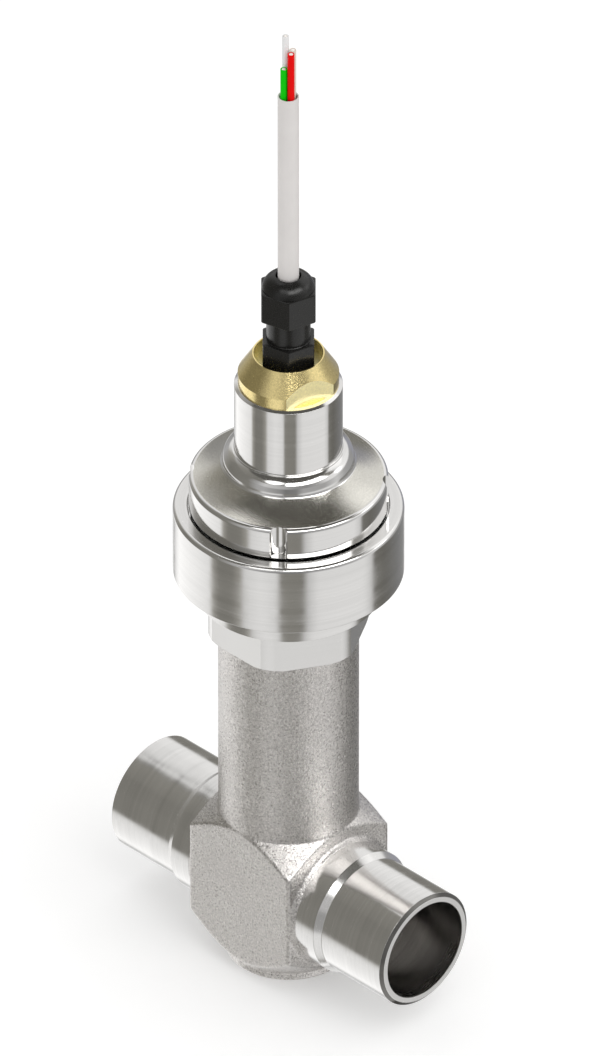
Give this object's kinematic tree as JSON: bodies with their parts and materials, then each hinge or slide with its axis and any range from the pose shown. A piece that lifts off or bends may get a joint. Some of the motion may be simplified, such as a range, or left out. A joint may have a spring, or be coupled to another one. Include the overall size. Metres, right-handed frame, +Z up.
{
  "type": "electric regulating valve",
  "caption": "Straight-through valve with butt-weld pipe ends, a tall cast body, and a stepper motor head that lifts a balanced piston off its seat, wired through a cable gland.",
  "frame": {"origin": "centre of the bottom boss's face, on the valve axis", "axes": "+Z up the valve axis towards the cable, +X along the pipe axis out of the outlet"},
  "size_m": [0.1086, 0.065, 0.3102],
  "materials": {
    "cast_steel": "cast, fine blasted grain",
    "turned_steel": "turned",
    "polished_steel": "polished",
    "inner_steel": "machined",
    "bearing_steel": "ground",
    "brass": "machined",
    "black_plastic": "moulded",
    "rubber": "moulded",
    "gasket": "pressed fibre",
    "white_plastic": "moulded",
    "magnet": "sintered",
    "copper": "lacquered wire",
    "sealing_glass": "fused",
    "jacket": "extruded",
    "red_insulation": "extruded",
    "green_insulation": "extruded",
    "white_insulation": "extruded",
    "grey_insulation": "extruded"
  },
  "bodies": {
    "valve": {"valve_body": "cast_steel", "valve_seat": "inner_steel", "cage": "inner_steel", "cage_gasket": "gasket", "guide_bush": "brass", "bonnet": "turned_steel", "bonnet_o_ring": "rubber", "motor_housing": "polished_steel", "housing_gasket": "gasket", "lower_bearing_outer": "bearing_steel", "top_bearing_outer": "bearing_steel", "stator_spacer": "white_plastic", "stator_cup_lower": "inner_steel", "pole_plate_lower": "inner_steel", "bobbin_lower": "white_plastic", "winding_lower": "copper", "stator_cup_upper": "inner_steel", "pole_plate_upper": "inner_steel", "bobbin_upper": "white_plastic", "winding_upper": "copper", "stator_cover": "white_plastic", "header_ring": "inner_steel", "header_glass": "sealing_glass", "header_pins": "bearing_steel", "header_seal": "rubber", "brass_adapter": "brass", "gland_washer": "rubber", "gland_body": "black_plastic", "gland_seal": "rubber", "gland_nut": "black_plastic", "cable_jacket": "jacket", "core_red": "red_insulation", "core_grey": "grey_insulation", "core_white": "white_insulation", "core_green": "green_insulation", "lead_red": "red_insulation", "lead_grey": "grey_insulation", "lead_white": "white_insulation", "lead_green": "green_insulation", "motor_leads": "copper"},
    "rotor": {"rotor_hub": "inner_steel", "spindle_nut": "brass", "rotor_magnet": "magnet", "rotor_cap": "inner_steel", "lower_bearing_inner": "bearing_steel", "lower_bearing_balls": "bearing_steel", "top_bearing_inner": "bearing_steel", "top_bearing_balls": "bearing_steel"},
    "spindle": {"spindle": "inner_steel", "cross_pin": "inner_steel", "piston": "inner_steel", "lower_piston_ring": "white_plastic", "upper_piston_ring": "white_plastic", "seat_seal": "white_plastic"}
  },
  "joints": [
    {"name": "rotor_spin", "type": "hinge", "parent": "valve", "child": "rotor", "pos_m": [0, 0, 0.148], "axis": [0, 0, 1], "range_deg": [0, 4680]},
    {"name": "spindle_slide", "type": "slide", "parent": "valve", "child": "spindle", "axis": [0, 0, 1], "range_m": [0, 0.013]}
  ],
  "couplings": [
    {"joint": "rotor_spin", "follows": "spindle_slide", "rad_per_m": 6283.2}
  ]
}
